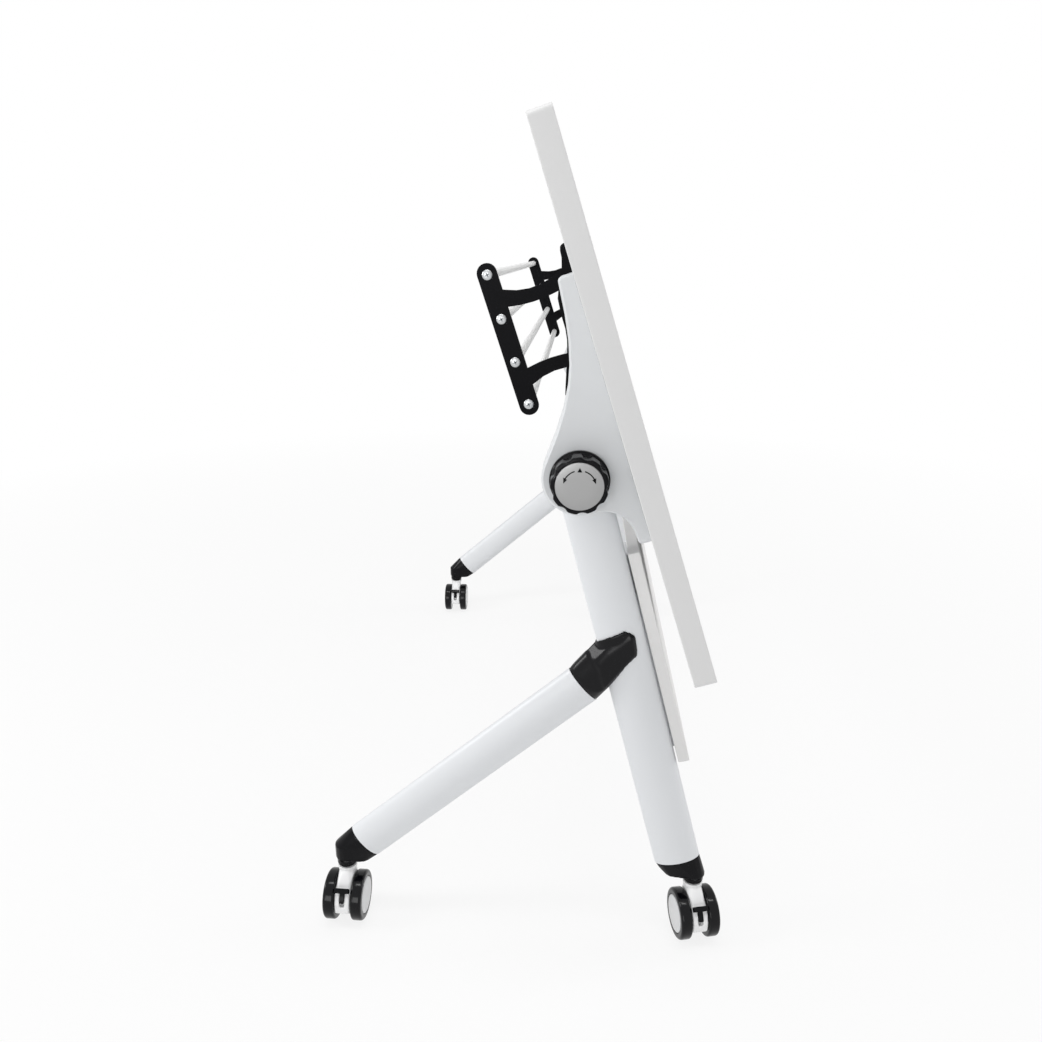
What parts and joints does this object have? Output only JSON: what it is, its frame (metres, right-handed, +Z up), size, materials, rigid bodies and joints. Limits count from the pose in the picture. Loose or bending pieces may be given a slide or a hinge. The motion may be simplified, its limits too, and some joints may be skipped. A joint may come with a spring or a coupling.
{
  "type": "flip top training table",
  "caption": "Training table on lockable casters, with a top that folds up on a lengthwise axis for nesting, a wire book shelf and a modesty panel.",
  "frame": {"origin": "on the floor under the middle of the stored table", "axes": "+X along the top to the end that faces the camera, the user sits on the -Y side, +Z up"},
  "size_m": [1.4, 0.5512, 1.0373],
  "materials": {
    "laminate": "matt white laminate on board",
    "panel": "light grey laminate on board",
    "edge_band": "matt plastic band",
    "powder_coat": "satin white powder coat",
    "cast": "pale grey paint on cast aluminium",
    "bush": "plain",
    "black_steel": "matt black",
    "rod": "satin pale grey",
    "black_plastic": "glossy black",
    "silver_disc": "satin silver",
    "white_plastic": "glossy white",
    "tyre": "satin black",
    "zinc": "zinc plate"
  },
  "bodies": {
    "frame": {"crossbeam": "powder_coat", "modesty_panel": "panel", "main_leg_right": "powder_coat", "foreleg_right": "powder_coat", "leg_joint_right": "black_plastic", "rear_cap_right": "black_plastic", "front_cap_right": "black_plastic", "leg_head_right": "cast", "panel_angle_right": "powder_coat", "pivot_stub_right": "zinc", "main_leg_left": "powder_coat", "foreleg_left": "powder_coat", "leg_joint_left": "black_plastic", "rear_cap_left": "black_plastic", "front_cap_left": "black_plastic", "leg_head_left": "cast", "panel_angle_left": "powder_coat", "pivot_stub_left": "zinc"},
    "top": {"tabletop": "laminate", "edge_band": "edge_band", "tilt_bracket_right": "cast", "shelf_bracket_right": "black_steel", "pivot_bush_right": "bush", "tilt_bracket_left": "cast", "shelf_bracket_left": "black_steel", "pivot_bush_left": "bush", "shelf_rod_1": "rod", "shelf_rod_2": "rod", "shelf_rod_3": "rod", "shelf_rod_4": "rod"},
    "knob_right": {"knob_right": "black_plastic", "knob_disc_right": "silver_disc"},
    "lock_pin_right": {"lock_pin_right": "zinc"},
    "knob_left": {"knob_left": "black_plastic", "knob_disc_left": "silver_disc"},
    "lock_pin_left": {"lock_pin_left": "zinc"},
    "caster_front_right": {"caster_body_front_right": "white_plastic", "caster_stem_front_right": "zinc", "caster_axle_front_right": "zinc"},
    "wheel_outer_front_right": {"caster_wheel_outer_front_right": "tyre"},
    "wheel_inner_front_right": {"caster_wheel_inner_front_right": "tyre"},
    "pedal_front_right": {"brake_pedal_front_right": "black_plastic"},
    "caster_rear_right": {"caster_body_rear_right": "white_plastic", "caster_stem_rear_right": "zinc", "caster_axle_rear_right": "zinc"},
    "wheel_outer_rear_right": {"caster_wheel_outer_rear_right": "tyre"},
    "wheel_inner_rear_right": {"caster_wheel_inner_rear_right": "tyre"},
    "pedal_rear_right": {"brake_pedal_rear_right": "black_plastic"},
    "caster_front_left": {"caster_body_front_left": "white_plastic", "caster_stem_front_left": "zinc", "caster_axle_front_left": "zinc"},
    "wheel_outer_front_left": {"caster_wheel_outer_front_left": "tyre"},
    "wheel_inner_front_left": {"caster_wheel_inner_front_left": "tyre"},
    "pedal_front_left": {"brake_pedal_front_left": "black_plastic"},
    "caster_rear_left": {"caster_body_rear_left": "white_plastic", "caster_stem_rear_left": "zinc", "caster_axle_rear_left": "zinc"},
    "wheel_outer_rear_left": {"caster_wheel_outer_rear_left": "tyre"},
    "wheel_inner_rear_left": {"caster_wheel_inner_rear_left": "tyre"},
    "pedal_rear_left": {"brake_pedal_rear_left": "black_plastic"}
  },
  "joints": [
    {"name": "top_flip", "type": "hinge", "parent": "frame", "child": "top", "pos_m": [0, 0.07107, 0.657], "axis": [1, 0, 0], "range_deg": [0, 72]},
    {"name": "knob_turn_right", "type": "hinge", "parent": "frame", "child": "knob_right", "pos_m": [0.58, 0.07107, 0.657], "axis": [1, 0, 0], "range_deg": [-70, 70]},
    {"name": "lock_slide_right", "type": "slide", "parent": "frame", "child": "lock_pin_right", "axis": [1, 0, 0], "range_m": [0, 0.007]},
    {"name": "knob_turn_left", "type": "hinge", "parent": "frame", "child": "knob_left", "pos_m": [-0.58, 0.07107, 0.657], "axis": [-1, 0, 0], "range_deg": [-70, 70]},
    {"name": "lock_slide_left", "type": "slide", "parent": "frame", "child": "lock_pin_left", "axis": [-1, 0, 0], "range_m": [0, 0.007]},
    {"name": "swivel_front_right", "type": "hinge", "parent": "frame", "child": "caster_front_right", "pos_m": [0.545, -0.24727, 0.09], "axis": [0, 0, 1], "continuous": true},
    {"name": "roll_outer_front_right", "type": "hinge", "parent": "caster_front_right", "child": "wheel_outer_front_right", "pos_m": [0.555, -0.24745, 0.034], "axis": [0.0175, 0.9998, 0], "continuous": true},
    {"name": "roll_inner_front_right", "type": "hinge", "parent": "caster_front_right", "child": "wheel_inner_front_right", "pos_m": [0.555, -0.24745, 0.034], "axis": [0.0175, 0.9998, 0], "continuous": true},
    {"name": "brake_front_right", "type": "hinge", "parent": "caster_front_right", "child": "pedal_front_right", "pos_m": [0.555, -0.24745, 0.034], "axis": [0.0175, 0.9998, 0], "range_deg": [0, 11]},
    {"name": "swivel_rear_right", "type": "hinge", "parent": "frame", "child": "caster_rear_right", "pos_m": [0.545, 0.24003, 0.09], "axis": [0, 0, 1], "continuous": true},
    {"name": "roll_outer_rear_right", "type": "hinge", "parent": "caster_rear_right", "child": "wheel_outer_rear_right", "pos_m": [0.55474, 0.24228, 0.034], "axis": [-0.225, 0.9744, 0], "continuous": true},
    {"name": "roll_inner_rear_right", "type": "hinge", "parent": "caster_rear_right", "child": "wheel_inner_rear_right", "pos_m": [0.55474, 0.24228, 0.034], "axis": [-0.225, 0.9744, 0], "continuous": true},
    {"name": "brake_rear_right", "type": "hinge", "parent": "caster_rear_right", "child": "pedal_rear_right", "pos_m": [0.55474, 0.24228, 0.034], "axis": [-0.225, 0.9744, 0], "range_deg": [0, 11]},
    {"name": "swivel_front_left", "type": "hinge", "parent": "frame", "child": "caster_front_left", "pos_m": [-0.545, -0.24727, 0.09], "axis": [0, 0, 1], "continuous": true},
    {"name": "roll_outer_front_left", "type": "hinge", "parent": "caster_front_left", "child": "wheel_outer_front_left", "pos_m": [-0.53501, -0.24693, 0.034], "axis": [-0.0349, 0.9994, 0], "continuous": true},
    {"name": "roll_inner_front_left", "type": "hinge", "parent": "caster_front_left", "child": "wheel_inner_front_left", "pos_m": [-0.53501, -0.24693, 0.034], "axis": [-0.0349, 0.9994, 0], "continuous": true},
    {"name": "brake_front_left", "type": "hinge", "parent": "caster_front_left", "child": "pedal_front_left", "pos_m": [-0.53501, -0.24693, 0.034], "axis": [-0.0349, 0.9994, 0], "range_deg": [0, 11]},
    {"name": "swivel_rear_left", "type": "hinge", "parent": "frame", "child": "caster_rear_left", "pos_m": [-0.545, 0.24003, 0.09], "axis": [0, 0, 1], "continuous": true},
    {"name": "roll_outer_rear_left", "type": "hinge", "parent": "caster_rear_left", "child": "wheel_outer_rear_left", "pos_m": [-0.53505, 0.23898, 0.034], "axis": [0.1045, 0.9945, 0], "continuous": true},
    {"name": "roll_inner_rear_left", "type": "hinge", "parent": "caster_rear_left", "child": "wheel_inner_rear_left", "pos_m": [-0.53505, 0.23898, 0.034], "axis": [0.1045, 0.9945, 0], "continuous": true},
    {"name": "brake_rear_left", "type": "hinge", "parent": "caster_rear_left", "child": "pedal_rear_left", "pos_m": [-0.53505, 0.23898, 0.034], "axis": [0.1045, 0.9945, 0], "range_deg": [0, 11]}
  ]
}
